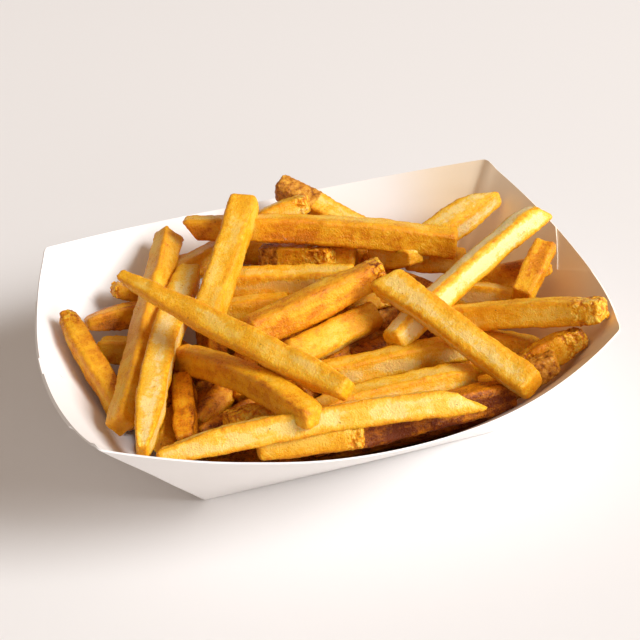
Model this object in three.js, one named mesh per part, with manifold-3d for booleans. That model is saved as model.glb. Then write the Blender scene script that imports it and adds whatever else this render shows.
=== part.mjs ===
// French fries heaped in an open paperboard food tray. Millimetres, +Z up.
// X runs along the tray, Y across it, and the origin is the middle of its underside.
import * as THREE from "three";
import { mergeVertices } from "three/addons/utils/BufferGeometryUtils.js";
import Module from "manifold-3d";

const wasm = await Module();
wasm.setup();

// ---- Tray: driving dimensions ----
const BOARD = 0.5; // paperboard thickness
const BASE_HALF_X = 47; // flat base, half length
const BASE_HALF_Y = 29.5; // flat base, half width
const CORNER_X = 76; // rim corner, half length
const CORNER_Y = 55; // rim corner, half width
const CORNER_Z = 48; // rim height at the corners
const SIDE = { bow: 17.5, dip: 9.2, bowPower: 2.2, dipPower: 2.0 }; // long walls
const END = { bow: 10, dip: 7.2, bowPower: 2.1, dipPower: 1.9 }; // end walls
const NEAR_SKEW = 0.18; // the near wall is pushed out more towards +X
const SIDE_STEPS = 20; // stations along a long rim
const END_STEPS = 16; // stations along an end rim
const WALL_ROWS = 4; // steps up a wall
const PANEL = { foot: 0.95, from: -0.8, to: 0.6 }; // outer end panel, as shares of the half width
const PANEL_FOOT = 0.06; // the panel starts this share of the wall's height up
const LAYER_BITE = 0.3; // how far the glued panel is sunk into the wall to be one sheet
const NOTCH_HALF = 0.27; // half gap between the two corner flaps at the rim, same shares
const NOTCH_FOOT = 0.85; // share of the wall's height where the two flaps meet

// ---- Fries: driving dimensions ----
const CORNER_CUT = 0.22; // share of a fry's side that its worn corner takes
const TAPERS = [8, 8]; // lengths over which a fry's two ends narrow
const MOST_TAPER = 0.45; // and the largest share of a fry that such a length takes
const TIP = 0.86; // the last section, as a share of the end's width
const END_FLAT = 0.35; // how much of its narrowing an end has in its thickness too
const CORE_GAP = 3.5; // air between the core and the board
const CORE_FOOT = 1.5; // height of the core's underside
const CORE_EDGE = 19; // height of the core where it meets the walls
const CORE_TOP = 25; // height of the core's crown
const CROWN_RINGS = [0.66, 0.33]; // rings of the crown, as shares of its outline
const BED_COUNT = 26; // fries lying on the core under those that show
const BED_REACH = [59, 43]; // half length and half width of the bed
const BED_HALF = [22, 11]; // half length of a bed fry, in the middle and at the edge
const BED_RISE = [1, 8]; // how far a bed fry's middle lies above the core, in the same places
const BED_SIDE = 8; // side of a bed fry
const BED_TURN = 1.9; // radians from one bed fry's heading to the next
const BED_ROLL = 25; // degrees from one bed fry's roll to the next
const GOLDEN = 2.39996; // radians between neighbours of an even spiral

// The fries on top, each from one end's middle to the other's. roll is in degrees, bow is sideways
// and upward, ends are the two ends' widths as shares of the fry's own, tapers are the lengths over
// which the ends narrow, and cuts are how far an end's cut leans along the fry for each mm across it.
const FRIES = [
  { from: [-56, 15, 56], to: [-6, -54, 48], wide: 8, thick: 7, roll: -32, ends: [0.4, 0.7], tapers: [34, 10] },
  { from: [-10, 47, 55], to: [-35, 3, 40], wide: 9, thick: 9, roll: 1, ends: [1.05, 1] },
  { from: [-35, 57, 42], to: [-68, -30, 35], wide: 8, thick: 8, roll: 50, ends: [1, 0.8] },
  { from: [-33, 37, 39], to: [-64, -50, 40], wide: 9, thick: 8, roll: 6, bow: [2, 0], ends: [0.8, 0.3],
    tapers: [6, 20] },
  { from: [-29, 50, 47], to: [53, 20, 39], wide: 9, thick: 9, roll: -76, bow: [0, 3], ends: [0.7, 1.05],
    tapers: [40, 8], cuts: [0.5, 0] },
  { from: [22, 1, 49], to: [-23, -9, 42], wide: 10, thick: 9, roll: 75, ends: [0.65, 1], tapers: [21, 8] },
  { from: [21, -8, 50], to: [48, -57, 37], wide: 9, thick: 7, roll: -27, ends: [1.15, 0.9],
    tapers: [25, 8], cuts: [-0.4, 0] },
  { from: [80, 14, 49], to: [17, -21, 37], wide: 8, thick: 7, roll: 67, bow: [0, 2], ends: [0.85, 0.9],
    cuts: [0.5, 0] },
  { from: [76, -43, 48], to: [34, -14, 36], wide: 8, thick: 8, roll: 71, ends: [0.9, 1] },
  { from: [-60, -50, 38], to: [28, -62, 41], wide: 8, thick: 7, roll: -56, bow: [0, 2], ends: [0.4, 0.8],
    tapers: [16, 8], cuts: [0, 0.9] },
  { from: [-44, 0, 33], to: [-17, -59, 45], wide: 8, thick: 8, roll: -79, bow: [0, 3], ends: [1, 0.65],
    tapers: [8, 12] },
  { from: [-75, 24, 41], to: [-66, -13, 29], wide: 7, thick: 7, roll: 3, ends: [0.6, 1] },
  { from: [-69, 27, 34], to: [-46, 31, 31], wide: 8, thick: 7, roll: -72, ends: [0.4, 1] },
  { from: [-58, 41, 36], to: [-41, 38, 32], wide: 6, thick: 6, roll: -77, ends: [0.6, 1] },
  { from: [5, 64, 48], to: [29, 40, 37], wide: 9, thick: 8, roll: -10, ends: [0.8, 1] },
  { from: [-7, 49, 45], to: [11, 48, 49], wide: 8, thick: 8, roll: -68, ends: [0.8, 0.7] },
  { from: [71, 38, 42], to: [39, 25, 37], wide: 10, thick: 9, roll: 7, ends: [0.5, 1], cuts: [0.7, 0] },
  { from: [75, -2, 47], to: [60, -18, 41], wide: 7, thick: 7, roll: 7, ends: [0.95, 0.95] },
  { from: [76, -3, 38], to: [54, 4, 34], wide: 8, thick: 8, roll: 67, ends: [0.4, 1] },
  { from: [43, 0, 35], to: [64, -15, 36], wide: 8, thick: 7, roll: -71, ends: [1, 0.5], tapers: [8, 14] },
  { from: [-15, -20, 38], to: [17, -5, 37], wide: 9, thick: 8, roll: -37, ends: [1, 0.9] },
  { from: [-7, -26, 34], to: [44, -27, 34], wide: 8, thick: 7, roll: -83, ends: [1, 0.9] },
  { from: [-15, -46, 36], to: [37, -40, 33], wide: 8, thick: 8, roll: -81, bow: [0, 1], ends: [0.8, 0.5] },
  { from: [42, -19, 30], to: [60, -31, 30], wide: 8, thick: 8, roll: -69, ends: [1, 0.7] },
  { from: [50, -40, 31], to: [70, -42, 40], wide: 9, thick: 7, roll: -71, ends: [0.8, 0.5] },
  { from: [-6, -54, 32], to: [44, -50, 31], wide: 9, thick: 8, roll: -70, ends: [0.9, 0.8] },
  { from: [-33, -54, 35], to: [-4, -59, 37], wide: 8, thick: 8, roll: -66, ends: [0.8, 1] },
  { from: [-45, -8, 31], to: [-51, -40, 32], wide: 7, thick: 7, roll: -9, ends: [0.9, 0.7] },
  { from: [-38, -38, 34], to: [-12, -40, 33], wide: 8, thick: 8, roll: -72, ends: [0.8, 1] },
  { from: [-22, 29, 37], to: [16, 14, 38], wide: 9, thick: 8, roll: -89 },
  { from: [-27, 21, 32], to: [-5, 18, 32], wide: 8, thick: 8, roll: -76 },
  { from: [-8, 43, 36], to: [13, 30, 37], wide: 8, thick: 7, roll: -77, ends: [0.8, 0.9] },
  { from: [0, 45, 34], to: [22, 33, 35], wide: 8, thick: 8, roll: -72, ends: [0.9, 0.8] },
  { from: [29, 34, 33], to: [39, 19, 38], wide: 8, thick: 8, roll: -75, ends: [1, 0.6] },
  { from: [38, 29, 32], to: [56, 22, 31], wide: 8, thick: 8, roll: -77, ends: [0.8, 1] },
  { from: [-67, 17, 31], to: [-52, 13, 28], wide: 8, thick: 8, roll: -74, ends: [0.8, 1] },
  { from: [-39, 41, 36], to: [-19, 47, 39], wide: 8, thick: 8, roll: -73, ends: [0.8, 1] },
  { from: [41, -47, 29], to: [60, -47, 36], wide: 8, thick: 7, roll: -68, ends: [0.8, 0.7] },
  { from: [-58, -34, 29], to: [-51, -18, 25], wide: 7, thick: 7, roll: -45, ends: [0.8, 1] },
  { from: [4, 3, 38], to: [27, 2, 39], wide: 9, thick: 8, roll: -63, ends: [0.9, 0.8] },
  { from: [18, -1, 31], to: [31, 6, 31], wide: 8, thick: 8, roll: -61, ends: [0.9, 0.9] },
  { from: [26, -40, 27], to: [50, -42, 28], wide: 8, thick: 8, roll: -71, ends: [0.9, 0.9] },
  { from: [-38, -7, 24], to: [-43, -29, 24], wide: 8, thick: 8, roll: -8, ends: [0.9, 0.9] },
  // on the side away from the near wall, behind the long fry
  { from: [-41, 48, 33], to: [-12, 53, 33], wide: 8, thick: 8, roll: -82, ends: [0.8, 0.9] },
  { from: [-15, 55, 32], to: [22, 50, 29], wide: 9, thick: 8, roll: -78, ends: [0.7, 0.9] },
  { from: [56, 39, 28], to: [24, 43, 28], wide: 8, thick: 9, roll: 82, ends: [0.6, 0.9] },
  { from: [29, 49, 33], to: [48, 29, 32], wide: 8, thick: 8, roll: -74, ends: [0.8, 1] },
];

// ---- Helpers ----

// A closed triangle mesh as a manifold solid.
function solid(positions, triangles) {
  const geometry = new THREE.BufferGeometry();
  geometry.setAttribute("position", new THREE.Float32BufferAttribute(positions.flat(), 3));
  geometry.setIndex(triangles.flat());
  const merged = mergeVertices(geometry, 1e-4);
  return new wasm.Manifold(
    new wasm.Mesh({
      numProp: 3,
      vertProperties: merged.attributes.position.array,
      triVerts: Uint32Array.from(merged.index.array),
    }),
  );
}

// A manifold solid as a three.js geometry.
function geometryOf(manifold) {
  const mesh = manifold.getMesh();
  const geometry = new THREE.BufferGeometry();
  geometry.setAttribute("position", new THREE.Float32BufferAttribute(mesh.vertProperties, 3));
  geometry.setIndex(Array.from(mesh.triVerts));
  geometry.computeVertexNormals();
  return geometry;
}

// The outermost body alone: without the hollows that heaping seals, and without scraps.
function filled(manifold) {
  const bodies = manifold.decompose();
  return bodies.reduce((largest, body) => (body.volume() > largest.volume() ? body : largest));
}

// Triangles that join closed rings of equal length, with a fan over the first and the last.
function ringTriangles(rings, size) {
  const triangles = [];
  for (let ring = 0; ring + 1 < rings; ring++) {
    for (let i = 0; i < size; i++) {
      const a = ring * size + i;
      const b = ring * size + ((i + 1) % size);
      triangles.push([a, b, b + size], [a, b + size, a + size]);
    }
  }
  const last = (rings - 1) * size;
  for (let i = 1; i + 1 < size; i++) {
    triangles.push([0, i + 1, i], [last, last + i, last + i + 1]);
  }
  return triangles;
}

const mix = (a, b, share) => a + (b - a) * share;

// ---- Tray ----

// A point of a long rim: along runs from -1 to 1, side is -1 for the near wall.
function sideRim(along, side) {
  const skew = side < 0 ? 1 + NEAR_SKEW * along : 1;
  const bow = SIDE.bow * skew * (1 - Math.abs(along) ** SIDE.bowPower);
  const dip = SIDE.dip * skew * (1 - Math.abs(along) ** SIDE.dipPower);
  return [CORNER_X * along, side * (CORNER_Y + bow), CORNER_Z - dip];
}

// A point of an end rim: along runs from -1 to 1, end is 1 for the +X wall.
function endRim(along, end) {
  const bow = END.bow * (1 - Math.abs(along) ** END.bowPower);
  const dip = END.dip * (1 - Math.abs(along) ** END.dipPower);
  return [end * (CORNER_X + bow), CORNER_Y * along, CORNER_Z - dip];
}

// The stations round the tray, each with its foot on the base and its place on the rim.
function trayStations() {
  const stations = [];
  const addSide = (side) => {
    for (let i = 0; i < SIDE_STEPS; i++) {
      const along = -side * mix(-1, 1, i / SIDE_STEPS);
      const foot = [BASE_HALF_X * along, side * BASE_HALF_Y, 0];
      stations.push({ foot, rim: sideRim(along, side), out: [i === 0 ? along : 0, side] });
    }
  };
  const addEnd = (end) => {
    for (let i = 0; i < END_STEPS; i++) {
      const along = end * mix(-1, 1, i / END_STEPS);
      const foot = [end * BASE_HALF_X, BASE_HALF_Y * along, 0];
      stations.push({ foot, rim: endRim(along, end), out: [end, i === 0 ? along : 0] });
    }
  };
  addSide(-1);
  addEnd(1);
  addSide(1);
  addEnd(-1);
  return stations;
}

// The board's inner face stands inward of the outer one, square to the leaning wall.
function innerOf({ foot, rim, out }) {
  const lean = Math.atan2(rim[2], Math.hypot(rim[0] - foot[0], rim[1] - foot[1]));
  const atFoot = BOARD * Math.tan(lean / 2);
  const atRim = BOARD * Math.sin(lean);
  return {
    foot: [foot[0] - out[0] * atFoot, foot[1] - out[1] * atFoot, BOARD],
    rim: [rim[0] - out[0] * atRim, rim[1] - out[1] * atRim, rim[2] + BOARD * Math.cos(lean)],
  };
}

// The tub: base and walls of one even thickness.
function tub() {
  const stations = trayStations();
  const inner = stations.map(innerOf);
  const levels = Array.from({ length: WALL_ROWS + 1 }, (_, row) => row / WALL_ROWS);
  const ringAt = (walls, up) =>
    walls.map(({ foot, rim }) => foot.map((value, axis) => mix(value, rim[axis], up)));
  const rings = [
    ...levels.map((up) => ringAt(stations, up)),
    ...levels.toReversed().map((up) => ringAt(inner, up)),
  ];
  return solid(rings.flat(), ringTriangles(rings.length, stations.length));
}

// A point of an end wall's inner face; up is 0 at the base and 1 at the rim.
function endWallPoint(along, up, end) {
  const rim = endRim(along, end);
  return [
    mix(end * BASE_HALF_X, rim[0], up),
    mix(BASE_HALF_Y * along, rim[1], up),
    mix(0, rim[2], up),
  ];
}

// A layer of board on an end wall, from one height to another. edges(up) gives its two sides as
// shares of the half width, and depth is how far its two faces stand out from the wall's face.
function endLayer(end, heights, edges, depth) {
  const columns = 12;
  const rows = WALL_ROWS;
  const lean = Math.atan2(CORNER_Z, CORNER_X - BASE_HALF_X);
  const normal = [end * Math.sin(lean), 0, -Math.cos(lean)];
  const faces = depth.map((offset) => {
    const points = [];
    for (let row = 0; row <= rows; row++) {
      const up = mix(heights[0], heights[1], row / rows);
      const [from, to] = edges(up);
      for (let column = 0; column <= columns; column++) {
        const point = endWallPoint(mix(from, to, column / columns), up, end);
        points.push(point.map((value, axis) => value + normal[axis] * offset));
      }
    }
    return points;
  });
  const at = (face, row, column) => face * faces[0].length + row * (columns + 1) + column;
  const triangles = [];
  const quad = (a, b, c, d) => triangles.push([a, b, c], [a, c, d]);
  for (let row = 0; row < rows; row++) {
    for (let column = 0; column < columns; column++) {
      quad(at(0, row, column), at(0, row + 1, column), at(0, row + 1, column + 1), at(0, row, column + 1));
      quad(at(1, row, column), at(1, row, column + 1), at(1, row + 1, column + 1), at(1, row + 1, column));
    }
    quad(at(0, row, 0), at(1, row, 0), at(1, row + 1, 0), at(0, row + 1, 0));
    quad(at(0, row, columns), at(0, row + 1, columns), at(1, row + 1, columns), at(1, row, columns));
  }
  for (let column = 0; column < columns; column++) {
    quad(at(0, 0, column), at(0, 0, column + 1), at(1, 0, column + 1), at(1, 0, column));
    quad(at(0, rows, column), at(1, rows, column), at(1, rows, column + 1), at(0, rows, column + 1));
  }
  if (end < 0) triangles.forEach((triangle) => triangle.reverse());
  return solid(faces.flat(), triangles);
}

// The whole tray: the tub, whose end walls are the folded-in corner flaps, the panel glued
// outside each end, and the notch between the flaps where that panel shows.
function tray() {
  let sheet = tub();
  for (const end of [-1, 1]) {
    const panelEdges = (up) => [mix(-PANEL.foot, PANEL.from, up), mix(PANEL.foot, PANEL.to, up)];
    sheet = sheet.add(endLayer(end, [PANEL_FOOT, 1], panelEdges, [-LAYER_BITE, BOARD]));
    const notchEdges = (up) => {
      const half = NOTCH_HALF * Math.max((up - NOTCH_FOOT) / (1 - NOTCH_FOOT), 0.01);
      return [-half, half];
    };
    sheet = sheet.subtract(endLayer(end, [NOTCH_FOOT, 1.05], notchEdges, [-2 * BOARD, 0]));
  }
  return sheet;
}

// ---- Fries ----

// A fry is a worn square bar: eight-sided sections along a slightly bowed line.
function fry(row) {
  const { from, to, wide, thick, roll = 0, bow = [0, 0] } = row;
  const { ends = [1, 1], tapers = TAPERS, cuts = [0, 0] } = row;
  const start = new THREE.Vector3(...from);
  const line = new THREE.Vector3(...to).sub(start);
  const length = line.length();
  const ahead = line.clone().normalize();
  const side = new THREE.Vector3().crossVectors(ahead, new THREE.Vector3(0, 0, 1)).normalize();
  const up = new THREE.Vector3().crossVectors(side, ahead);
  const turn = THREE.MathUtils.degToRad(roll);
  const across = side.clone().multiplyScalar(Math.cos(turn)).addScaledVector(up, Math.sin(turn));
  const above = up.clone().multiplyScalar(Math.cos(turn)).addScaledVector(side, -Math.sin(turn));
  const [w, t] = [wide / 2, thick / 2];
  const [cw, ct] = [wide * CORNER_CUT, thick * CORNER_CUT];
  const section = [
    [-w, t - ct], [cw - w, t], [w - cw, t], [w, t - ct],
    [w, ct - t], [w - cw, -t], [cw - w, -t], [-w, ct - t],
  ];
  const [first, last] = tapers.map((taper) => Math.min(taper / length, MOST_TAPER));
  const stations = [0, first, ...(bow[0] || bow[1] ? [0.5] : []), 1 - last, 1];
  const points = [];
  for (const station of stations) {
    const which = station < 0.5 ? 0 : 1;
    const isTip = station === 0 || station === 1;
    const narrow = isTip ? ends[which] * TIP : 1;
    const flat = mix(1, narrow, ends[which] < 1 ? END_FLAT : 1);
    const cut = isTip ? cuts[which] : 0;
    const arch = 4 * station * (1 - station);
    const middle = start.clone().addScaledVector(ahead, length * station);
    middle.addScaledVector(side, bow[0] * arch).addScaledVector(up, bow[1] * arch);
    for (const [x, y] of section) {
      const corner = middle.clone().addScaledVector(across, x * narrow).addScaledVector(above, y * flat);
      points.push(corner.addScaledVector(ahead, cut * x).toArray());
    }
  }
  return solid(points, ringTriangles(stations.length, section.length));
}

// Where the walls stand at a height: the station's outer face at that level.
function wallAt({ foot, rim }, height) {
  const up = height / rim[2];
  return [mix(foot[0], rim[0], up), mix(foot[1], rim[1], up)];
}

// The core fills the tray under the fries, clear of the board all round.
function core() {
  const stations = trayStations();
  const ring = (height, share) =>
    stations.map((station) => {
      const [x, y] = wallAt(station, height);
      const reach = Math.hypot(x, y);
      const scale = ((reach - CORE_GAP) / reach) * share;
      return [x * scale, y * scale, height];
    });
  const crown = (share) =>
    ring(CORE_EDGE, share).map(([x, y]) => [x, y, mix(CORE_TOP, CORE_EDGE, share ** 2)]);
  const rings = [ring(CORE_FOOT, 1), ring(CORE_EDGE, 1), ...CROWN_RINGS.map(crown)];
  return solid(rings.flat(), ringTriangles(rings.length, stations.length));
}

// The fries lying on the core, set out on an even spiral and turned each a little further.
function bedFries() {
  const fries = [];
  for (let i = 0; i < BED_COUNT; i++) {
    const reach = Math.sqrt((i + 0.5) / BED_COUNT);
    const angle = i * GOLDEN;
    const heading = i * BED_TURN;
    const half = mix(...BED_HALF, reach);
    const middle = [BED_REACH[0] * reach * Math.cos(angle), BED_REACH[1] * reach * Math.sin(angle)];
    const height = mix(CORE_TOP + BED_RISE[0], CORE_EDGE + BED_RISE[1], reach ** 2);
    const step = [half * Math.cos(heading), half * Math.sin(heading)];
    fries.push({
      from: [middle[0] - step[0], middle[1] - step[1], height],
      to: [middle[0] + step[0], middle[1] + step[1], height + (i % 3) - 1],
      wide: BED_SIDE,
      thick: BED_SIDE,
      roll: (i * BED_ROLL) % 90,
      ends: [0.8, 0.7],
    });
  }
  return fries;
}

function heap() {
  return filled(wasm.Manifold.union([core(), ...bedFries().map(fry), ...FRIES.map(fry)]));
}

// ---- The group ----

const board = new THREE.MeshStandardMaterial({ color: 0xf4efec, roughness: 0.7, metalness: 0 });
const potato = new THREE.MeshStandardMaterial({ color: 0xe0a02c, roughness: 0.5, metalness: 0 });

function node(name, manifold, material) {
  const mesh = new THREE.Mesh(geometryOf(manifold), material);
  mesh.name = name;
  return mesh;
}

const group = new THREE.Group();
group.add(node("tray", tray(), board));
group.add(node("fries", heap(), potato));

export default group;
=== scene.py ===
"""French fries heaped in an open paperboard food tray."""

import math
import random
from typing import NamedTuple

import bpy
import numpy as np
from bpy.props import (
    FloatProperty,
    FloatVectorProperty,
    IntProperty,
    PointerProperty,
)
from mathutils import Matrix, Vector


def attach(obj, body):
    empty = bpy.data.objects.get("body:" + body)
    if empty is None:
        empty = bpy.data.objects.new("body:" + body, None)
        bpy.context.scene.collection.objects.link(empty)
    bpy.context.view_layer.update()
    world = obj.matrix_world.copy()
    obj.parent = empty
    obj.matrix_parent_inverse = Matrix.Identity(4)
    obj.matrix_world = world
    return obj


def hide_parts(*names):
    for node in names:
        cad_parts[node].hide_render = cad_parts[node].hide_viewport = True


bl_info = {
    "name": "Fries in a Tray",
    "version": (1, 0, 0),
    "blender": (4, 5, 0),
    "location": "View3D > Sidebar > Fries",
    "description": "Models a folded paperboard food tray heaped with french fries",
    "category": "Object",
}

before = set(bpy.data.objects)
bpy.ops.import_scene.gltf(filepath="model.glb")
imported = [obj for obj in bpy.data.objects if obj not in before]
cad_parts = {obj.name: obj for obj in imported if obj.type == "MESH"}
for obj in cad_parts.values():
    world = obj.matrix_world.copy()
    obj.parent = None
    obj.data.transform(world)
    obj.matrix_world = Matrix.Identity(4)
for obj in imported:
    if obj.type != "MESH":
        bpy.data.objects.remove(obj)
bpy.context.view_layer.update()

MM = 0.001

# ---- Camera ----
AZIMUTH, ELEVATION, ROLL = -13.1, 34.5, -4.8  # degrees
DISTANCE = 549 * MM
LENS, SENSOR = 88.0, 36.0  # mm
TARGET = Vector((12.3, 50.4, 0)) * MM

# ---- Light, metres ----
LAMP_TOWARDS = (0.68, -0.48, 0.56)
FILL_TOWARDS = (0.3, -0.94, 0.16)
LAMP_DISTANCE, LAMP_SIZE = 6.0, 2.8
LAMP_COLOR = (0.96, 0.98, 1.0)
SKY_COLOR = (1.0, 0.82, 0.68)

# ---- The tray's sheet, mm ----
BASE_HALF = (47, 29.5)
CORNER = (76, 55, 48)
SIDE = {"bow": 17.5, "dip": 9.2, "bow_power": 2.2, "dip_power": 2.0}
END = {"bow": 10, "dip": 7.2, "bow_power": 2.1, "dip_power": 1.9}
NEAR_SKEW = 0.18  # the near wall is pushed out more towards +X
PEAK_HEIGHT, PEAK_REACH = 0.9, 2.75  # of a flap's low peak, and its distance past the crease
SIDE_STEPS, END_STEPS = 48, 40
WALL_LEVELS = (0.1, 0.2, 0.3, 0.4, 0.5, 0.6, 0.7, 0.78, 0.85, 0.9, 0.95, 1.0)
NOTCH_HALF = {-1: 0.08, 1: 0.26}  # half gap between an end's flaps, as a share of its half width
NOTCH_FOOT = 0.85  # share of the wall's height where the flaps meet
PANEL_SPANS = {-1: (-0.66, 0.58), 1: (-0.80, 0.61)}  # outer panels, as shares of the half width
PANEL_FOOT, PANEL_TOP = 0.05, 1.0
PANEL_SPREAD = 0.95  # half span of a panel at the base
PANEL_OUT = 0.52  # how far a panel's outer face is outside the flaps' outer face
PANEL_STEPS = 30
CREASE_STEPS = 3
WAVE_WIDTH, WAVE_DEPTH = 42, 1.1  # of the slow waves in the walls
SHARP_ANGLE = 50  # degrees; a fold is shaded smooth up to this
ON_LINE = 1e-4  # how near a point of the flat sheet is to a line that it lies on
# Painted warm bounce light from the fries on the board's inside: it grows towards the right end and fades
# towards the rim.
BOUNCE_FROM, BOUNCE_OVER = 40, 26  # where the inside starts to be warmer towards the right end
BOUNCE_FADE_FROM, BOUNCE_FADE_OVER, BOUNCE_FADE_LOSS = 28, 18, 0.3  # the height where that fades, and its loss at the rim


class Fry(NamedTuple):
    """One fry: its two ends' middles and its form in mm, and its looks as shares."""

    start: tuple
    end: tuple
    wide: float
    thick: float
    roll: float = 0.0  # degrees about its length
    bow: tuple = (0, 0)  # sideways and upward
    ends: tuple = (1, 1)  # the ends' widths as shares of the fry's own
    taper: tuple = (8, 8)  # the lengths over which the ends narrow
    cuts: tuple = (0, 0)  # how far each end's cut leans along the fry for each mm across it
    # for some fries the tone is also darkened to paint the shade that they lie in
    tone: float = 0.4  # 0 is pale, 1 is brown
    crisp: tuple = (0, 0)  # blistered share of the fry at each end
    skin: float = 0.0  # share of its length from its start that keeps its skin


# Besides each fry's own browning, the darker tones of fries under others, along the near wall and deep in
# the heap paint the shade that they lie in.
PLAIN_FRIES = [
    Fry((-56, 15, 56), (-6, -54, 48), 8, 7, -32, ends=(0.4, 0.7), taper=(34, 10), tone=0.34),
    Fry((-10, 47, 55), (-35, 3, 40), 9, 9, 1, ends=(1.05, 1), tone=0.4),
    Fry((-35, 57, 42), (-68, -30, 35), 8, 8, 50, ends=(1, 0.8), tone=0.4),
    Fry((-33, 37, 39), (-64, -50, 40), 9, 8, 6, (2, 0), (0.8, 0.3), (6, 20), tone=0.26),
    Fry((-29, 50, 47), (53, 20, 39), 9, 9, -76, (0, 3), (0.7, 1.05), (40, 8), (0.5, 0), tone=0.5),
    Fry((22, 1, 49), (-23, -9, 42), 10, 9, 75, ends=(0.65, 1), taper=(21, 8), tone=0.52, crisp=(0.1, 0)),
    Fry((21, -8, 50), (48, -57, 37), 9, 7, -27, ends=(1.15, 0.9), taper=(25, 8), cuts=(-0.4, 0), tone=0.32),
    Fry((80, 14, 49), (17, -23, 38), 8, 7, 67, (0, 2), (0.85, 0.9), cuts=(0.5, 0), tone=0.05),
    Fry((76, -43, 48), (34, -14, 36), 8, 8, 71, ends=(0.9, 1), tone=0.44, crisp=(0.16, 0)),
    Fry((-60, -50, 38), (28, -62, 41), 8, 7, -56, (0, 2), (0.4, 0.8), (16, 8), (0, 0.9), tone=0.21),
    Fry((-44, 0, 33), (-17, -59, 45), 8, 8, -79, (0, 3), (1, 0.65), (8, 12), tone=0.46),
    Fry((-75, 24, 41), (-66, -13, 29), 7, 7, 3, ends=(0.6, 1), taper=(10, 8), tone=0.7, crisp=(0.1, 0)),
    Fry((-69, 27, 34), (-46, 31, 31), 8, 7, -72, ends=(0.4, 1), taper=(10, 8), tone=0.82),
    Fry((-7, 49, 45), (11, 48, 49), 8, 8, -68, ends=(0.8, 0.7), tone=0.3, crisp=(0, 0.2)),
    Fry((71, 38, 42), (39, 25, 37), 10, 9, 7, ends=(0.5, 1), taper=(10, 8), cuts=(0.7, 0), tone=0.13),
    Fry((75, -2, 47), (60, -18, 41), 7, 7, 7, ends=(0.95, 0.95), tone=0.56),
    Fry((76, -3, 38), (54, 4, 34), 8, 8, 67, ends=(0.4, 1), tone=0.55),
    Fry((43, 0, 35), (64, -15, 36), 8, 7, -71, ends=(1, 0.5), taper=(8, 14), tone=0.22),
    Fry((-15, -20, 38), (17, -5, 37), 9, 8, -37, ends=(1, 0.9), tone=0.42),
    Fry((-7, -26, 34), (44, -27, 34), 8, 7, -83, ends=(1, 0.9), tone=0.38),
    Fry((-15, -46, 36), (37, -40, 33), 8, 8, -81, (0, 1), (0.8, 0.5), (8, 10), tone=0.36),
    Fry((42, -19, 30), (60, -31, 30), 8, 8, -69, ends=(1, 0.7), tone=0.4),
    # dark tone: painted shade of the near wall
    Fry((-6, -54, 32), (44, -50, 31), 9, 8, -70, ends=(0.9, 0.8), tone=0.9),
    Fry((-33, -54, 35), (-4, -59, 37), 8, 8, -66, ends=(0.8, 1), tone=0.42, crisp=(0, 0.15)),
    Fry((-45, -8, 31), (-51, -40, 32), 7, 7, -9, ends=(0.9, 0.7), tone=0.8),
    Fry((-22, 29, 37), (16, 14, 38), 9, 8, -89, tone=0.44),
    Fry((-27, 21, 32), (-5, 18, 32), 8, 8, -76, tone=0.5),
    Fry((0, 45, 34), (22, 33, 35), 8, 8, -72, ends=(0.9, 0.8), tone=0.4),
    Fry((29, 34, 33), (39, 19, 38), 8, 8, -75, ends=(1, 0.6), tone=0.2),
    Fry((38, 29, 32), (56, 22, 31), 8, 8, -77, ends=(0.8, 1), tone=0.34),
    Fry((-67, 17, 31), (-52, 13, 28), 8, 8, -74, ends=(0.8, 1), tone=0.5),
    Fry((-39, 41, 36), (-19, 47, 39), 8, 8, -73, ends=(0.8, 1), tone=0.42),
    Fry((-58, -34, 29), (-51, -18, 25), 7, 7, -45, ends=(0.8, 1), tone=0.5),
    Fry((26, -40, 27), (50, -42, 28), 8, 8, -71, ends=(0.9, 0.9), tone=0.52),
    # darkest tone: painted shade deep in a gap of the heap
    Fry((-38, -7, 24), (-43, -29, 24), 8, 8, -8, ends=(0.9, 0.9), tone=1.0),
]

ROUGH_FRIES = [
    Fry((-58, 41, 36), (-41, 38, 32), 6, 6, -77, ends=(0.6, 1), tone=0.55, crisp=(0.1, 0)),
    Fry((5, 64, 48), (29, 40, 37), 9, 8, -10, ends=(0.8, 1), tone=0.36, skin=0.42),
    Fry((50, -40, 31), (70, -42, 40), 9, 7, -71, ends=(0.8, 0.5), tone=0.55, crisp=(0.3, 0.3), skin=0.15),
    Fry((-38, -38, 34), (-12, -40, 33), 8, 8, -72, ends=(0.8, 1), tone=0.5, crisp=(0.5, 0)),
    Fry((-8, 43, 36), (13, 30, 37), 8, 7, -77, ends=(0.8, 0.9), tone=0.55, crisp=(0, 0.35), skin=0.3),
    Fry((41, -47, 29), (60, -47, 36), 8, 7, -68, ends=(0.8, 0.7), tone=0.6, skin=1),
    Fry((4, 3, 38), (27, 2, 39), 9, 8, -63, ends=(0.9, 0.8), tone=0.56, crisp=(0.3, 0.3)),
    Fry((18, -1, 31), (31, 6, 31), 8, 8, -61, ends=(0.9, 0.9), tone=0.55, skin=1),
]

# on the side away from the near wall, behind the long fry
BACK_FRIES = [
    Fry((-41, 48, 33), (-12, 53, 33), 8, 8, -82, ends=(0.8, 0.9), tone=0.42),
    Fry((-15, 55, 32), (22, 50, 29), 9, 8, -78, ends=(0.7, 0.9), tone=0.38),
    Fry((56, 39, 28), (24, 43, 28), 8, 9, 82, ends=(0.6, 0.9), tone=0.46),
    Fry((29, 49, 33), (48, 29, 32), 8, 8, -74, ends=(0.8, 1), tone=0.36),
]

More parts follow.
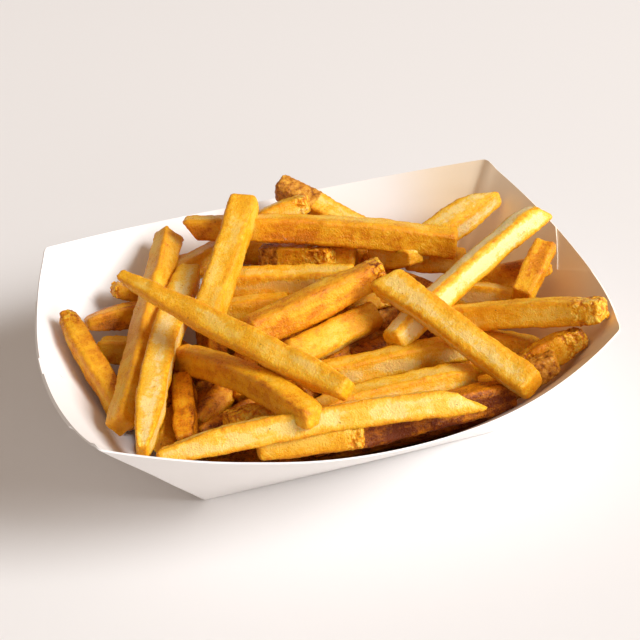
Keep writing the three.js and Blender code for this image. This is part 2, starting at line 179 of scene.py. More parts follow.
# ---- The fries beneath, mm: the same even spiral as the solid heap's ----
BED_COUNT = 26
BED_REACH = (59, 43)
BED_HALF = (22, 11)
BED_HEIGHTS = (26, 27)  # of a bed fry's middle, in the heap's middle and at its edge
BED_SIDE = 8
BED_TURN = 1.9  # radians by which each lies further round than the one before
BED_ROLL = 25  # degrees by which each is rolled further
BED_LAYERS = ((0, 1, 0), (8, 0.62, 1.1))  # how far down, how much closer in and turned how much further
# darker than the fries on top: painted shade of the deep heap, besides their own browning
BED_SHADE_TONES = (0.66, 0.94)
BED_ENDS = (0.8, 0.7)
GOLDEN = 2.39996  # radians, the golden angle

# ---- The core, mm ----
CORE_TOP, CORE_EDGE, CORE_FOOT = 16, 11, 1.5
CORE_GAP = 3.5
CORE_LEVELS = (0.06, 0.25)  # shares of the walls' height that the core's foot and edge run along
CORE_STEPS = (61, 45)  # odd, so that no point of the grid is at its middle
CORE_LUMPS = ((9, 5), (3, 1.5))  # width and depth
LUMPS_OVER = 8  # the height over which they grow from the foot
# dark brown: painted shade deep in the heap
CORE_SHADE_TONE = 0.94

# ---- Crumbs, mm ----
CRUMB_COUNT = 60
CRUMB_REACH = (70, 52)
CRUMB_DROP = 80  # the height that they fall from
CRUMB_SIZES = (0.5, 1.3)
CRUMB_RISE = 0.4  # how far a crumb's middle is above the ground, as a share of its size
CRUMB_STRETCH = (0.6, 1.3)
CRUMB_LUMPS = (0.6, 0.3)  # width and depth
CRUMB_TONES = (0.5, 1.0)

# ---- The blank fry: unit length, width and thickness ----
EDGE_ROUND = 0.17  # radius of a long edge as a share of the side
EDGE_STEPS = 3
FLAT_CUTS = 3  # cuts across each flat face
CAP_RINGS = (0.85, 0.75, 0.6)  # each ring of an end's face as a share of the one before
LONG_FRY, SHORT_FRY = 55, 30  # mm; from these lengths on, a fry gets more stations
STATIONS = (110, 64, 34)  # along a long, a middling and a short fry
ON_FACE = 0.49  # from here out, a point lies on a flat face

# ---- How a fry departs from its blank, mm ----
END_CLOSER = 0.6  # how much closer together a fry's stations are at its ends
END_ROUND, END_SHRINK = 1.4, 0.78  # length over which an end rounds off, and to what share of its width
END_FLAT = 0.35  # how much of its narrowing an end has in its thickness too
LONGEST_TAPER, TAPER_POWER = 0.45, 0.75  # as a share of the fry's length, and how full it is
TWIST = 7  # degrees by which a fry may turn about its length
SWAY, SWAY_WAVES = 0.45, (120, 100)  # how far its line may wander, and the waves sideways and upward
SECTION_SIZE, SECTION_SWELL = 0.97, 0.05  # a fry's width as a share of its own, and how it wanders
SWELL_WAVES = (60, 45)  # of its width and its thickness
HARMONICS, HARMONIC_SUM = (1, 2, 3), 1.8  # of a wander, and about what they add up to
FACE_SINK = (-0.03, 0.05)  # how far a flat face sinks in its middle, as a share of the side
CUT_PAST = 2  # how far past its taper an end's given cut reaches in
LEAN, LEAN_REACH = (-0.2, 0.2), 4  # of an end's own small lean through its thickness
FRY_RELIEFS = (  # width, depth, detail and where
    (7, 0.9, 1, ""),
    (1.8, 0.26, 2, ""),
    (0.9, 0.5, 2, "ragged"),
    (1.8, 0.7, 2, "blistered"),
)

# ---- What is stored on a fry's points ----
SIDE_TONE = (-0.26, 0.26)  # how much darker one side of a fry may be than the other
PALEST_FACE = 0.6  # the lowest tone of a face, as a share of the fry's own
CORNER_FROM, CORNER_OVER = 0.38, 0.5  # where the edge's colour starts on a face
TIP_REACH, TIP_EDGE = 1.6, 0.8  # mm that an end's colour reaches in, and its share of an edge's
CRISP_BORDER, SKIN_BORDER = 6, 9  # how sharply a crisp or skinned stretch stops
SKIN_BLISTER = 0.6  # how rough skin is beside a crisp end
GRAIN_STRETCH = 0.22  # draws the streaks out along the fry


class Noise(NamedTuple):
    """A noise on a surface: its cells for each metre, its detail and its roughness."""

    scale: float
    detail: float
    roughness: float = 0.5


# ---- Floor; its size in m ----
FLOOR_SIZE, FLOOR_ROUGHNESS, FLOOR_GLOSS = 6, 0.8, 0.1

# ---- Browning; a swing is how far a noise moves the tone ----
BROWNING_STOPS = (0.0, 0.22, 0.42, 0.7, 1.0)  # tones that are pale, straw, golden, amber and brown
PATCHES, PATCH_SWING = Noise(130, 3, 0.55), 1.1
STREAKS, STREAK_SWING = Noise(300, 3, 0.55), 1.0
MOTTLE, MOTTLE_SWING = Noise(620, 4, 0.6), 0.6
FINE, FINE_SWING, FINE_SHIFT = Noise(1900, 3, 0.65), 0.45, -0.22
TONE_SHIFT = -1.44  # takes the first three noises' mean out again
DARKEST, PALEST = 0.09, 0.55  # limits, past the fry's own tone and as a share of it
EDGE_TONE, EDGE_LEAST = 0.57, 0.03  # the tone that an edge is drawn to, and the least that it darkens
EDGE_SHARE = 2.0  # how much of the mottle draws it there
CRISP_SWING, CRISP_LIMITS, CRISP_START = 1.2, (0.3, 0.7), (0.0, 0.2)
# on crisp stretches the bubbles' paler tops are painted highlights, and the darker hollows between them
# painted shade
BUBBLES, BUBBLE_LIMITS, BUBBLE_TOP = 640, (0.2, 0.75), 0.6
BUBBLE_SWING, BUBBLE_SHIFT = 0.55, -0.3
BEND, BEND_REACH = Noise(500, 2), 3 * MM  # bends the bubbles out of round
SPECKS, SPECK_SIZES, SPECK_PLACES = 300, (0.05, 0.11), (0.52, 0.62)
SPECK_COLOR, SPECK_SHARE = (0.16, 0.05, 0.01, 1), 0.7
MOTTLE_RISE, FINE_RISE, STREAK_RISE, BUBBLE_RISE = 0.6, 0.62, 0.5, 1.6
BUMP_STRENGTH, BUMP_DEPTH = 0.9, 0.6 * MM
DRY, OILY, OILY_PLACES = 0.46, 0.2, (0.48, 0.64)  # roughness, and where the fine noise turns oily
POTATO_GLOSS = 0.36
DEEP_LIGHT, DEEP_COLOR, DEEP_REACH = 0.3, (1.0, 0.45, 0.1), 2.5 * MM  # light that passes through
SKIN_SPOTS, SKIN_SWING, SKIN_LIMITS = Noise(520, 4, 0.65), 1.4, (0.4, 0.6)
SKIN_COLORS = [(0.32, (0.20, 0.05, 0.002)), (0.47, (0.54, 0.19, 0.008)), (0.66, (0.88, 0.43, 0.05))]

# ---- Paperboard ----
CLOUD, CLOUD_SWING, CLOUD_SHADE = Noise(45, 3), 0.05, 0.965
FIBRE, FIBRE_SWING, FIBRE_ROUGHNESS = Noise(1300, 3, 0.7), 0.16, 0.42
FIBRE_STRENGTH, FIBRE_DEPTH = 0.12, 0.1 * MM
BOARD_GLOSS = 0.35


# ---- Small helpers ----


def mix(a, b, share):
    return a + (b - a) * share


def smooth(share):
    share = np.clip(share, 0, 1)
    return share * share * (3 - 2 * share)


def deselect_all():
    if bpy.context.object and bpy.context.object.mode != "OBJECT":
        bpy.ops.object.mode_set(mode="OBJECT")
    bpy.ops.object.select_all(action="DESELECT")


def activate(piece):
    deselect_all()
    piece.select_set(True)
    bpy.context.view_layer.objects.active = piece


def edit_selected(piece, kind, chosen):
    """Opens a piece in edit mode with only its chosen edges or faces selected."""
    activate(piece)
    bpy.ops.object.mode_set(mode="EDIT")
    bpy.ops.mesh.select_mode(type=kind)
    bpy.ops.mesh.select_all(action="DESELECT")
    bpy.ops.object.mode_set(mode="OBJECT")
    for part in piece.data.edges if kind == "EDGE" else piece.data.polygons:
        part.select = bool(chosen(part))
    bpy.ops.object.mode_set(mode="EDIT")


def select_border():
    """Selects the open border of the mesh that is being edited."""
    bpy.ops.mesh.select_mode(type="EDGE")
    bpy.ops.mesh.select_all(action="DESELECT")
    bpy.ops.mesh.select_non_manifold(
        use_wire=False, use_multi_face=False, use_non_contiguous=False, use_verts=False
    )


def align_faces(piece):
    """Turns a piece's faces all the same way, outwards where it is closed."""
    activate(piece)
    bpy.ops.object.mode_set(mode="EDIT")
    bpy.ops.mesh.select_all(action="SELECT")
    bpy.ops.mesh.normals_make_consistent(inside=False)
    bpy.ops.object.mode_set(mode="OBJECT")


def copied(blank):
    """A copy of a blank with its own mesh."""
    piece = blank.copy()
    piece.data = blank.data.copy()
    bpy.context.collection.objects.link(piece)
    return piece


def edge_line(mesh, edge):
    """The vector along an edge."""
    a, b = edge.vertices
    return mesh.vertices[b].co - mesh.vertices[a].co


def points_of(mesh):
    points = np.empty(len(mesh.vertices) * 3)
    mesh.vertices.foreach_get("co", points)
    return points.reshape(-1, 3)


def move_points(mesh, points):
    mesh.vertices.foreach_set("co", np.asarray(points).ravel())
    mesh.update()


def give_values(mesh, name, values):
    """Stores one number for each point of a mesh, for its material to read."""
    attribute = mesh.attributes.new(name, "FLOAT", "POINT")
    attribute.data.foreach_set("value", np.asarray(values, np.float32))


def give_weights(piece, name, values):
    """A vertex group from one number for each point."""
    group = piece.vertex_groups.new(name=name)
    for index in np.nonzero(values > 0.01)[0]:
        group.add([int(index)], float(values[index]), "REPLACE")


def joined(pieces, name):
    deselect_all()
    for piece in pieces:
        piece.select_set(True)
    bpy.context.view_layer.objects.active = pieces[0]
    if len(pieces) > 1:
        bpy.ops.object.join()
    whole = bpy.context.object
    whole.name = name
    whole.data.name = name
    return whole


def apply_modifier(piece, kind, **settings):
    """Adds a modifier, sets it and applies it."""
    activate(piece)
    modifier = piece.modifiers.new(kind.title(), kind)
    for key, value in settings.items():
        setattr(modifier, key, value)
    bpy.ops.object.modifier_apply(modifier=modifier.name)


def relief(piece, width, depth, weights="", detail=1):
    """Raises and lowers a piece's surface in soft lumps, their width and depth in mm."""
    texture = bpy.data.textures.new("Relief", "CLOUDS")
    texture.noise_scale = width * MM
    texture.noise_depth = detail
    apply_modifier(
        piece,
        "DISPLACE",
        texture=texture,
        texture_coords="LOCAL",
        strength=depth * MM,
        mid_level=0.5,
        vertex_group=weights,
    )


# ---- Node helpers ----


def place_node(tree, kind, inputs=None, **settings):
    """Adds a node. An input is a constant, or the output socket that feeds it."""
    node = tree.nodes.new(kind)
    for key, value in settings.items():
        setattr(node, key, value)
    for key, value in (inputs or {}).items():
        if isinstance(value, bpy.types.NodeSocket):
            tree.links.new(value, node.inputs[key])
        else:
            node.inputs[key].default_value = value
    return node


def calculate(tree, operation, first, second=0.0, third=0.0, clamp=False):
    inputs = {0: first, 1: second, 2: third}
    return place_node(tree, "ShaderNodeMath", inputs, operation=operation, use_clamp=clamp).outputs[0]


def blend_colors(tree, share, first, second, how="MIX"):
    inputs = {"Factor": share, 6: first, 7: second}
    node = place_node(tree, "ShaderNodeMix", inputs, data_type="RGBA", blend_type=how)
    return node.outputs[2]


def noise(tree, where, kind, output="Fac"):
    inputs = {"Vector": where, "Scale": kind.scale, "Detail": kind.detail, "Roughness": kind.roughness}
    return place_node(tree, "ShaderNodeTexNoise", inputs).outputs[output]


def ramp(tree, value, stops):
    """A colour ramp from (position, colour) stops."""
    node = place_node(tree, "ShaderNodeValToRGB", {"Fac": value})
    elements = node.color_ramp.elements
    while len(elements) < len(stops):
        elements.new(0.5)
    for element, (position, color) in zip(elements, stops):
        element.position = position
        element.color = (*color, 1)
    return node.outputs["Color"]


def masked(tree, value, low, high):
    """0 below low, 1 above high, smooth between."""
    inputs = {"Value": value, "From Min": low, "From Max": high}
    node = place_node(tree, "ShaderNodeMapRange", inputs, interpolation_type="SMOOTHSTEP")
    return node.outputs["Result"]


def ragged(tree, share, field, swing, limits):
    """A mask from a share, with a border that wanders with a noise."""
    moved = calculate(tree, "ADD", share, calculate(tree, "MULTIPLY_ADD", field, swing, -swing / 2))
    return masked(tree, moved, *limits)


def bumpy(tree, height, strength, depth):
    """The normal of a surface with a fine relief."""
    inputs = {"Height": height, "Strength": strength, "Distance": depth}
    return place_node(tree, "ShaderNodeBump", inputs).outputs["Normal"]


def attribute(tree, name, output="Fac"):
    return place_node(tree, "ShaderNodeAttribute", attribute_name=name).outputs[output]


def object_place(tree):
    return place_node(tree, "ShaderNodeTexCoord").outputs["Object"]


def new_group(name, inputs, outputs):
    """An empty shader group with its named sockets, and its input and output nodes."""
    tree = bpy.data.node_groups.new(name, "ShaderNodeTree")
    for socket, kind, value in inputs:
        made = tree.interface.new_socket(name=socket, in_out="INPUT", socket_type=kind)
        if value is not None:
            made.default_value = value
    for socket, kind in outputs:
        tree.interface.new_socket(name=socket, in_out="OUTPUT", socket_type=kind)
    entry = tree.nodes.new("NodeGroupInput")
    leave = tree.nodes.new("NodeGroupOutput")
    return tree, entry.outputs, leave.inputs


def new_material(name):
    """A material with a bare Principled shader."""
    material = bpy.data.materials.new(name)
    material.use_nodes = True
    tree = material.node_tree
    shader = tree.nodes["Principled BSDF"]
    return material, tree, shader


def use_group(tree, group, inputs):
    return place_node(tree, "ShaderNodeGroup", inputs, node_tree=group).outputs


# ---- Materials ----


def browning_group(colors):
    """How frying colours a piece of potato: from its tone, its edges and its ends."""
    tree, entry, leave = new_group(
        "Browning",
        [
            ("Place", "NodeSocketVector", None),
            ("Grain", "NodeSocketVector", None),
            ("Tone", "NodeSocketFloat", 0.4),
            ("Edge", "NodeSocketFloat", 0.0),
            ("Crisp", "NodeSocketFloat", 0.0),
        ],
        [("Color", "NodeSocketColor"), ("Height", "NodeSocketFloat"), ("Roughness", "NodeSocketFloat")],
    )
    place = entry["Place"]
    patches, streaks = noise(tree, place, PATCHES), noise(tree, entry["Grain"], STREAKS)
    mottle, fine = noise(tree, place, MOTTLE), noise(tree, place, FINE)
    bubbles = bubble_middles(tree, place)
    crisp = ragged(tree, entry["Crisp"], mottle, CRISP_SWING, CRISP_LIMITS)
    crisp = calculate(tree, "MULTIPLY", crisp, masked(tree, entry["Crisp"], *CRISP_START))
    tone = browned_tone(tree, entry, patches, streaks, mottle, fine)
    # painted highlights on the bubbles' tops and painted shade in the hollows between them
    bubble_tone = calculate(
        tree, "MULTIPLY_ADD", masked(tree, bubbles, *BUBBLE_LIMITS), BUBBLE_SWING, BUBBLE_SHIFT
    )
    tone = calculate(tree, "MULTIPLY_ADD", bubble_tone, crisp, tone)
    tone = calculate(tree, "MAXIMUM", tone, calculate(tree, "MULTIPLY", entry["Tone"], PALEST))
    color = blend_colors(tree, specks(tree, place, mottle), ramp(tree, tone, colors), SPECK_COLOR)
    tree.links.new(color, leave["Color"])
    bubble = calculate(tree, "MULTIPLY", calculate(tree, "SUBTRACT", BUBBLE_TOP, bubbles), crisp)
    height = calculate(tree, "MULTIPLY", mottle, MOTTLE_RISE)
    for field, rise in ((fine, FINE_RISE), (streaks, STREAK_RISE), (bubble, BUBBLE_RISE)):
        height = calculate(tree, "MULTIPLY_ADD", field, rise, height)
    tree.links.new(height, leave["Height"])
    oily = masked(tree, fine, *OILY_PLACES)
    tree.links.new(calculate(tree, "MULTIPLY_ADD", oily, OILY - DRY, DRY), leave["Roughness"])
    return tree


def browned_tone(tree, entry, patches, streaks, mottle, fine):
    """A fry's own tone, moved by the noises within a limit and drawn to golden at its edges."""
    tone = calculate(tree, "ADD", entry["Tone"], TONE_SHIFT)
    for field, swing in ((patches, PATCH_SWING), (streaks, STREAK_SWING), (mottle, MOTTLE_SWING)):
        tone = calculate(tree, "MULTIPLY_ADD", field, swing, tone)
    tone = calculate(tree, "MINIMUM", tone, calculate(tree, "ADD", entry["Tone"], DARKEST))
    tone = calculate(tree, "ADD", tone, calculate(tree, "MULTIPLY_ADD", fine, FINE_SWING, FINE_SHIFT))
    edge = calculate(tree, "MULTIPLY", entry["Edge"], calculate(tree, "MULTIPLY", mottle, EDGE_SHARE))
    to_golden = calculate(tree, "MAXIMUM", calculate(tree, "SUBTRACT", EDGE_TONE, tone), EDGE_LEAST)
    return calculate(tree, "MULTIPLY_ADD", edge, to_golden, tone)


def bubble_middles(tree, place):
    """The distance from the middle of each small bubble, with the bubbles bent out of round."""
    bend = {0: noise(tree, place, BEND, "Color"), "Scale": BEND_REACH}
    bend = place_node(tree, "ShaderNodeVectorMath", bend, operation="SCALE").outputs[0]
    bent = place_node(tree, "ShaderNodeVectorMath", {0: bend, 1: place}, operation="ADD").outputs[0]
    inputs = {"Vector": bent, "Scale": BUBBLES, "Smoothness": 0.5}
    return place_node(tree, "ShaderNodeTexVoronoi", inputs, feature="SMOOTH_F1").outputs["Distance"]


def specks(tree, place, mottle):
    """A mask of small dark specks, which lie only where the mottle is strong."""
    middles = place_node(tree, "ShaderNodeTexVoronoi", {"Vector": place, "Scale": SPECKS})
    speck = calculate(tree, "SUBTRACT", 1.0, masked(tree, middles.outputs["Distance"], *SPECK_SIZES))
    speck = calculate(tree, "MULTIPLY", speck, masked(tree, mottle, *SPECK_PLACES))
    return calculate(tree, "MULTIPLY", speck, SPECK_SHARE)


def potato_material(name, group, skin_colors=None):
    """Fried potato: the browning group under a faint oily gloss, with skin where it is left on."""
    material, tree, shader = new_material(name)
    out = use_group(
        tree,
        group,
        {
            "Place": object_place(tree),
            "Grain": attribute(tree, "grain", "Vector"),
            "Tone": attribute(tree, "tone"),
            "Edge": attribute(tree, "edge"),
            "Crisp": attribute(tree, "crisp"),
        },
    )
    color = out["Color"]
    if skin_colors:
        spots = noise(tree, object_place(tree), SKIN_SPOTS)
        skin = ragged(tree, attribute(tree, "skin"), spots, SKIN_SWING, SKIN_LIMITS)
        color = blend_colors(tree, skin, color, ramp(tree, spots, skin_colors))
    tree.links.new(color, shader.inputs["Base Color"])
    tree.links.new(out["Roughness"], shader.inputs["Roughness"])
    tree.links.new(bumpy(tree, out["Height"], BUMP_STRENGTH, BUMP_DEPTH), shader.inputs["Normal"])
    shader.inputs["Specular IOR Level"].default_value = POTATO_GLOSS
    shader.inputs["Subsurface Weight"].default_value = DEEP_LIGHT
    shader.inputs["Subsurface Radius"].default_value = DEEP_COLOR
    shader.inputs["Subsurface Scale"].default_value = DEEP_REACH
    return material


def board_material(color, painted_bounce_color):
    """White paperboard: even, faintly fibrous and softly glossy, with painted warm bounce light from the
    fries on the inside of its right end.
    """
    material, tree, shader = new_material("Paperboard")
    place = object_place(tree)
    fibre = noise(tree, place, FIBRE)
    shade = calculate(tree, "MULTIPLY_ADD", noise(tree, place, CLOUD), CLOUD_SWING, CLOUD_SHADE)
    # painted bounce light: the board's colour is drawn warm where light reflected from the fries would fall
    tint = blend_colors(tree, attribute(tree, "painted_bounce"), (*color, 1), (*painted_bounce_color, 1))
    tint = blend_colors(tree, 1.0, tint, shade, "MULTIPLY")
    tree.links.new(tint, shader.inputs["Base Color"])
    roughness = calculate(tree, "MULTIPLY_ADD", fibre, FIBRE_SWING, FIBRE_ROUGHNESS)
    tree.links.new(roughness, shader.inputs["Roughness"])
    tree.links.new(bumpy(tree, fibre, FIBRE_STRENGTH, FIBRE_DEPTH), shader.inputs["Normal"])
    shader.inputs["Specular IOR Level"].default_value = BOARD_GLOSS
    return material


# ---- The tray ----


def side_rim(along, side):
    """A point of a long rim; along runs from -1 to 1, side is -1 for the near wall."""
    skew = 1 + NEAR_SKEW * along if side < 0 else 1
    bow = SIDE["bow"] * skew * (1 - abs(along) ** SIDE["bow_power"])
    dip = SIDE["dip"] * skew * (1 - abs(along) ** SIDE["dip_power"])
    return Vector((CORNER[0] * along, side * (CORNER[1] + bow), CORNER[2] - dip))


def end_rim(along, end):
    """A point of an end rim, with the flap's low peak just past each crease."""
    bow = END["bow"] * (1 - abs(along) ** END["bow_power"])
    dip = END["dip"] * (1 - abs(along) ** END["dip_power"])
    from_crease = (1 - abs(along)) * CORNER[1]
    peak = PEAK_HEIGHT * max(0.0, 1 - abs(from_crease / PEAK_REACH - 1))
    return Vector((end * (CORNER[0] + bow), CORNER[1] * along, CORNER[2] - dip + peak))


def side_point(side, along, up):
    """A point of a long wall, which runs along from -1 to 1 and up from 0 to 1."""
    foot = Vector((BASE_HALF[0] * along, side * BASE_HALF[1], 0))
    return foot.lerp(side_rim(along, side), up)


def end_point(end, along, up):
    """A point of an end wall."""
    foot = Vector((end * BASE_HALF[0], BASE_HALF[1] * along, 0))
    return foot.lerp(end_rim(along, end), up)


def folded(flat, notch_side=0):
    """Where a point of the flat sheet lies: its base runs from -1 to 1 and its walls on to 2."""
    reach = max(abs(flat.x), abs(flat.y))
    if reach <= 1:
        return Vector((BASE_HALF[0] * flat.x, BASE_HALF[1] * flat.y, 0))
    up = reach - 1
    if abs(flat.y) >= abs(flat.x):
        return side_point(math.copysign(1, flat.y), flat.x / reach, up)
    end, along = math.copysign(1, flat.x), flat.y / reach
    opening = NOTCH_HALF[end] * max(0.0, (up - NOTCH_FOOT) / (1 - NOTCH_FOOT))
    away = math.copysign(1, along) if along else notch_side
    return end_point(end, away * mix(opening, 1, abs(along)), up)


def slit_ends(sheet):
    """Opens the middle line of each end wall from the notch's foot up."""
    mesh = sheet.data

    def in_notch(edge):
        a, b = (mesh.vertices[i].co for i in edge.vertices)
        past_foot = min(abs(a.x), abs(b.x)) > 1 + NOTCH_FOOT - ON_LINE
        return past_foot and max(abs(a.y), abs(b.y)) < ON_LINE

    edit_selected(sheet, "EDGE", in_notch)
    bpy.ops.mesh.edge_split(type="EDGE")
    bpy.ops.object.mode_set(mode="OBJECT")


def fold_up(sheet):
    """Moves the flat sheet's points to their folded places, with the two sides of a slit apart."""
    mesh = sheet.data
    sides = [0.0] * len(mesh.vertices)
    for face in mesh.polygons:
        for index in face.vertices:
            sides[index] += face.center.y
    for vertex, side in zip(mesh.vertices, sides):
        on_line = abs(vertex.co.y) < ON_LINE
        flat = Vector((vertex.co.x, 0.0 if on_line else vertex.co.y, 0))
        split = math.copysign(1, side) if abs(side) > ON_LINE else 0
        vertex.co = folded(flat, split) * MM


def mark_folds(mesh):
    """Marks the flat sheet's folds as seams: those round the base and those up the corners."""
    for edge in mesh.edges:
        ends = [mesh.vertices[i].co for i in edge.vertices]
        past_base = [max(abs(point.x), abs(point.y)) - 1 for point in ends]
        round_base = all(abs(past) < ON_LINE for past in past_base)
        on_corner = all(abs(abs(point.x) - abs(point.y)) < ON_LINE for point in ends)
        edge.use_seam = round_base or (on_corner and min(past_base) > -ON_LINE)


def tray_sheet(crease):
    """The base with its walls drawn out ring by ring, creased, slit at the ends and folded up."""
    deselect_all()
    bpy.ops.mesh.primitive_grid_add(x_subdivisions=SIDE_STEPS, y_subdivisions=END_STEPS, size=2)
    sheet = bpy.context.object
    bpy.ops.object.mode_set(mode="EDIT")
    select_border()
    reach = 1.0
    for level in WALL_LEVELS:
        bpy.ops.mesh.extrude_edges_move()
        growth = (1 + level) / reach
        bpy.ops.transform.resize(value=(growth, growth, 1), center_override=(0, 0, 0))
        reach = 1 + level
    bpy.ops.object.mode_set(mode="OBJECT")
    mark_folds(sheet.data)
    slit_ends(sheet)
    fold_up(sheet)
    edit_selected(sheet, "EDGE", lambda edge: edge.use_seam)
    bpy.ops.mesh.bevel(offset=crease, segments=CREASE_STEPS, profile=0.5)
    bpy.ops.object.mode_set(mode="OBJECT")
    return sheet


def end_panel(end, span):
    """The panel glued outside one end, still without its thickness."""
    deselect_all()
    bpy.ops.mesh.primitive_grid_add(x_subdivisions=PANEL_STEPS, y_subdivisions=len(WALL_LEVELS), size=1)
    panel = bpy.context.object
    for vertex in panel.data.vertices:
        up = mix(PANEL_FOOT, PANEL_TOP, vertex.co.y + 0.5)
        left, right = mix(-PANEL_SPREAD, span[0], up), mix(PANEL_SPREAD, span[1], up)
        vertex.co = end_point(end, mix(left, right, vertex.co.x + 0.5), up) * MM
    align_faces(panel)
    if panel.data.polygons[0].normal.x * end > 0:
        panel.data.flip_normals()
    edit_selected(panel, "FACE", lambda face: True)
    bpy.ops.transform.shrink_fatten(value=-PANEL_OUT * MM)
    bpy.ops.object.mode_set(mode="OBJECT")
    return panel


def new_tray(settings):
    """The folded sheet with its flaps, notches and glued end panels, as one piece."""
    sheet = tray_sheet(settings.crease)
    panels = [end_panel(end, span) for end, span in PANEL_SPANS.items()]
    tray = joined([sheet] + panels, "tray_board")
    heights = points_of(tray.data)[:, 2] / (CORNER[2] * MM)
    give_weights(tray, "walls", smooth(heights * 2))
    relief(tray, WAVE_WIDTH, WAVE_DEPTH, weights="walls")
    apply_modifier(tray, "SOLIDIFY", thickness=settings.board, offset=1, use_even_offset=True)
    activate(tray)
    bpy.ops.object.shade_smooth_by_angle(angle=math.radians(SHARP_ANGLE))
    points = points_of(tray.data) / MM
    # painted bounce light from the fries: warm on the inside towards the right end, less towards the rim
    inside = np.array([vertex.normal.z > 0.1 for vertex in tray.data.vertices])
    by_right_end = smooth((points[:, 0] - BOUNCE_FROM) / BOUNCE_OVER)
    below_rim = 1 - BOUNCE_FADE_LOSS * smooth((points[:, 2] - BOUNCE_FADE_FROM) / BOUNCE_FADE_OVER)
    give_values(tray.data, "painted_bounce", inside * by_right_end * below_rim)
    tray.data.materials.append(board_material(settings.color, settings.painted_bounce))
    return tray


# ---- A fry ----


def fry_blank(stations):
    """A straight bar of unit size along X, its long edges rounded and its ends softened."""
    deselect_all()
    bpy.ops.mesh.primitive_cube_add(size=1, location=(0.5, 0, 0))
    blank = bpy.context.object
    bpy.ops.object.transform_apply(location=True, rotation=False, scale=False)
    mesh = blank.data

    def lengthwise(edge):
        return abs(edge_line(mesh, edge).x) > 0.5

    def across_face(edge):
        return not lengthwise(edge) and edge_line(mesh, edge).length > 2 * EDGE_ROUND

    edit_selected(blank, "EDGE", lengthwise)
    bpy.ops.mesh.bevel(offset=EDGE_ROUND, segments=EDGE_STEPS, profile=0.5)
    edit_selected(blank, "EDGE", across_face)
    bpy.ops.mesh.subdivide(number_cuts=FLAT_CUTS)
    edit_selected(blank, "EDGE", lengthwise)
    bpy.ops.mesh.subdivide(number_cuts=stations - 1)
    edit_selected(blank, "FACE", lambda face: abs(face.normal.x) > 0.9)
    for share in CAP_RINGS:
        bpy.ops.mesh.extrude_region_move()
        bpy.ops.transform.resize(value=(1, share, share), center_override=(0.5, 0, 0))
    bpy.ops.mesh.poke()
    bpy.ops.object.mode_set(mode="OBJECT")
    return blank


def fry_axes(fry):
    """The fry's start, its length, and the directions ahead, across and above."""
    start, end = Vector(fry.start), Vector(fry.end)
    ahead = (end - start).normalized()
    side = ahead.cross(Vector((0, 0, 1))).normalized()
    up = side.cross(ahead)
    turn = math.radians(fry.roll)
    across = side * math.cos(turn) + up * math.sin(turn)
    above = up * math.cos(turn) - side * math.sin(turn)
    return start, (end - start).length, ahead, side, up, across, above


def wander(along, length, draw, wave, amount):
    """A slow random swing along a fry, as a share."""
    total = np.zeros_like(along)
    for harmonic in HARMONICS:
        phase = draw.uniform(0, 2 * math.pi)
        total += np.sin(2 * math.pi * harmonic * along * length / wave + phase) / harmonic
    return total * amount / HARMONIC_SUM


class Points(NamedTuple):
    """A fry's points on its blank: how far along, across and above, and by which end."""

    along: np.ndarray
    y: np.ndarray
    z: np.ndarray
    left: np.ndarray  # mm to the nearer end
    second: np.ndarray  # whether that is the second end

    def by_end(self, pair):
        """For each point, the value of its nearer end."""
        return np.where(self.second, pair[1], pair[0])


def blank_points(blank, length):
    """The blank's points, with their stations drawn closer together at the ends."""
    along, y, z = points_of(blank.data).T
    along = mix(along, (1 - np.cos(math.pi * along)) / 2, END_CLOSER)
    second = along >= 0.5
    left = np.where(second, (1 - along) * length, along * length)
    return Points(along, y, z, left, second)


def fry_section(points, fry, taper, length, draw):
    """How far across and above the fry's line each point lies, in mm."""
    end = points.by_end(fry.ends)
    narrow = mix(end, 1.0, np.clip(points.left / taper, 0, 1) ** TAPER_POWER)
    flat = mix(1.0, narrow, np.where(end < 1, END_FLAT, 1.0))
    soft = np.sqrt(np.clip(1 - np.clip(1 - points.left / END_ROUND, 0, 1) ** 2, 0, 1))
    cap = mix(END_SHRINK, 1.0, soft)
    swell_y, swell_z = (
        SECTION_SIZE + wander(points.along, length, draw, wave, SECTION_SWELL) for wave in SWELL_WAVES
    )
    face_y = np.clip(1 - (2 * points.z) ** 2, 0, 1) * (np.abs(points.y) > ON_FACE)
    face_z = np.clip(1 - (2 * points.y) ** 2, 0, 1) * (np.abs(points.z) > ON_FACE)
    sunk_y = points.y * (1 - 2 * draw.uniform(*FACE_SINK) * face_y)
    sunk_z = points.z * (1 - 2 * draw.uniform(*FACE_SINK) * face_z)
    twist = np.radians(draw.uniform(-TWIST, TWIST)) * (points.along - 0.5)
    wide = sunk_y * fry.wide * narrow * cap * swell_y
    thick = sunk_z * fry.thick * flat * cap * swell_z
    return wide * np.cos(twist) - thick * np.sin(twist), wide * np.sin(twist) + thick * np.cos(twist)


def fry_lean(points, fry, taper, draw):
    """How far the slanting cuts of its ends move each point along the fry, in mm."""
    cut = points.by_end(fry.cuts) * points.y * fry.wide * smooth(1 - points.left / (taper + CUT_PAST))
    second, first = draw.uniform(*LEAN), draw.uniform(*LEAN)
    lean = points.by_end((first, second)) * points.z * fry.thick
    return cut + lean * smooth(1 - points.left / LEAN_REACH)


def end_mask(from_end, reach, border):
    """1 up to a share of the fry's length from its end, then 0, and 0 all over for no share."""
    return smooth((reach - from_end) * border + 0.5) if reach else 0 * from_end


